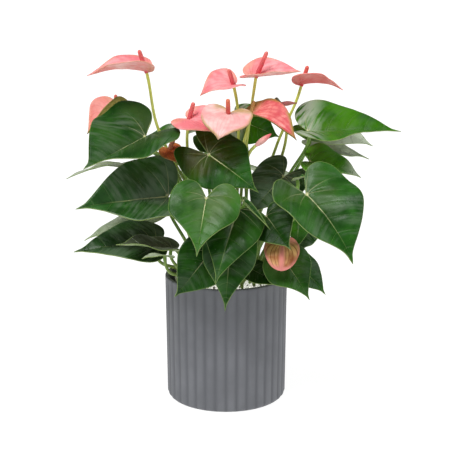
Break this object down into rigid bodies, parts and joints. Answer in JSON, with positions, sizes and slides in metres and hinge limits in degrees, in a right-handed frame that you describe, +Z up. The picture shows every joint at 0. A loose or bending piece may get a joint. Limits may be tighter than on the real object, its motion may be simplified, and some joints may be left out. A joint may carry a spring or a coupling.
{
  "type": "potted anthurium",
  "caption": "Flowering anthurium with heart-shaped leaves and pink blooms, rooted in a grower's pot inside a fluted matte cover pot.",
  "frame": {"origin": "centre of the cover pot's flat base, on the surface that it stands on", "axes": "+Z up along the pot's axis, +X to the plant's right and -Y towards its front, as in the picture"},
  "size_m": [0.3611, 0.2746, 0.3843],
  "materials": {
    "cover_pot": "matte",
    "grower_pot": "satin",
    "potting_mix": "matte",
    "leaf": "satin",
    "bloom": "satin",
    "stalk": "satin"
  },
  "bodies": {
    "root": {"cover_pot": "cover_pot", "grower_pot": "grower_pot", "potting_mix": "potting_mix", "leaf_01": "leaf", "leaf_02": "leaf", "leaf_03": "leaf", "leaf_04": "leaf", "leaf_05": "leaf", "leaf_06": "leaf", "leaf_07": "leaf", "leaf_08": "leaf", "leaf_09": "leaf", "leaf_10": "leaf", "leaf_11": "leaf", "leaf_12": "leaf", "leaf_13": "leaf", "leaf_14": "leaf", "leaf_15": "leaf", "leaf_16": "leaf", "leaf_17": "leaf", "leaf_18": "leaf", "leaf_19": "leaf", "leaf_20": "leaf", "leaf_21": "leaf", "leaf_22": "leaf", "leaf_23": "leaf", "leaf_24": "leaf", "leaf_25": "leaf", "leaf_26": "leaf", "leaf_27": "leaf", "leaf_28": "leaf", "leaf_29": "leaf", "leaf_30": "leaf", "leaf_31": "leaf", "leaf_32": "leaf", "leaf_33": "leaf", "bloom_01_head": "bloom", "bloom_02_head": "bloom", "bloom_03_head": "bloom", "bloom_04_head": "bloom", "bloom_05_head": "bloom", "bloom_06_head": "bloom", "bloom_07_head": "bloom", "bloom_08_head": "bloom", "bloom_09_head": "bloom", "bloom_10_head": "bloom", "bloom_11_head": "bloom", "bud_head": "bloom", "bloom_01_stalk": "stalk", "bloom_02_stalk": "stalk", "bloom_03_stalk": "stalk", "bloom_04_stalk": "stalk", "bloom_05_stalk": "stalk", "bloom_06_stalk": "stalk", "bloom_07_stalk": "stalk", "bloom_08_stalk": "stalk", "bloom_09_stalk": "stalk", "bloom_10_stalk": "stalk", "bloom_11_stalk": "stalk", "bud_stalk": "stalk"}
  },
  "joints": []
}
